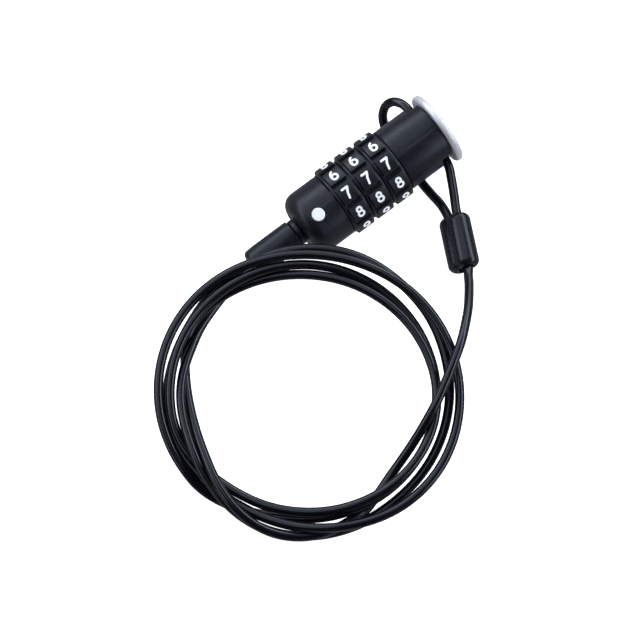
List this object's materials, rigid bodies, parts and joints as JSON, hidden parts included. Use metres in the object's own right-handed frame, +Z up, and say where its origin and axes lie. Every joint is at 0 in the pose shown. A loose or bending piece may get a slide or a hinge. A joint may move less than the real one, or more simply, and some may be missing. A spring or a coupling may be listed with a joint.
{
  "type": "combination cable lock",
  "caption": "Cable lock for a laptop: a short cylindrical combination lock with number dials and a round metal head, on a coiled black steel cable with a crimped eye.",
  "frame": {"origin": "on the surface that the lock lies on, under the middle of the lock's length and width, its cable left out", "axes": "+X level along the lock, from the cable outlet towards the metal head; +Z up; the lock's own axis rises 5 degrees towards the head"},
  "size_m": [0.1303, 0.1085, 0.0271],
  "materials": {
    "black_moulding": "satin moulded plastic",
    "cable_jacket": "smooth glossy vinyl over steel wire",
    "silver_metal": "fine matte silver",
    "white_plastic": "plain white",
    "steel": "machined",
    "brass": "machined",
    "die_cast": "as cast"
  },
  "bodies": {
    "lock_body": {"rear_cap": "black_moulding", "front_body": "black_moulding", "core_sleeve": "die_cast", "cap_roll_pin": "steel", "body_roll_pin": "steel", "detent_ball_1": "steel", "detent_ball_2": "steel", "detent_ball_3": "steel", "detent_spring_1": "steel", "detent_spring_2": "steel", "detent_spring_3": "steel", "reset_spring": "steel", "cable_lead": "cable_jacket", "cable_coil": "cable_jacket", "cable_tail": "cable_jacket", "cable_eye": "cable_jacket", "ferrule_cover": "black_moulding", "ferrule_sleeve": "die_cast"},
    "dial_1": {"dial_1": "black_moulding", "code_ring_1": "brass"},
    "dial_2": {"dial_2": "black_moulding", "code_ring_2": "brass"},
    "dial_3": {"dial_3": "black_moulding", "code_ring_3": "brass"},
    "head": {"locking_pin": "steel", "head_disc": "silver_metal"},
    "reset_button": {"reset_button": "white_plastic"},
    "swivel": {"swivel_stud": "steel", "swivel_collar": "black_moulding", "strain_relief": "black_moulding", "cable_crimp": "die_cast"}
  },
  "joints": [
    {"name": "dial_1_turn", "type": "hinge", "parent": "lock_body", "child": "dial_1", "pos_m": [-0.01813, 0, 0.01041], "axis": [0.9962, 0, 0.0872], "continuous": true},
    {"name": "dial_2_turn", "type": "hinge", "parent": "lock_body", "child": "dial_2", "pos_m": [-0.01813, 0, 0.01041], "axis": [0.9962, 0, 0.0872], "continuous": true},
    {"name": "dial_3_turn", "type": "hinge", "parent": "lock_body", "child": "dial_3", "pos_m": [-0.01813, 0, 0.01041], "axis": [0.9962, 0, 0.0872], "continuous": true},
    {"name": "head_pull", "type": "slide", "parent": "lock_body", "child": "head", "axis": [0.9962, 0, 0.0872], "range_m": [0, 0.0075]},
    {"name": "reset_press", "type": "slide", "parent": "lock_body", "child": "reset_button", "axis": [0.0846, 0.2419, -0.9666], "range_m": [0, 0.001], "stiffness_N_per_m": 400, "springref_m": -0.002, "deforming": ["reset_spring"]},
    {"name": "cable_swivel", "type": "hinge", "parent": "lock_body", "child": "swivel", "pos_m": [-0.01813, 0, 0.01041], "axis": [0.9962, 0, 0.0872], "continuous": true}
  ]
}
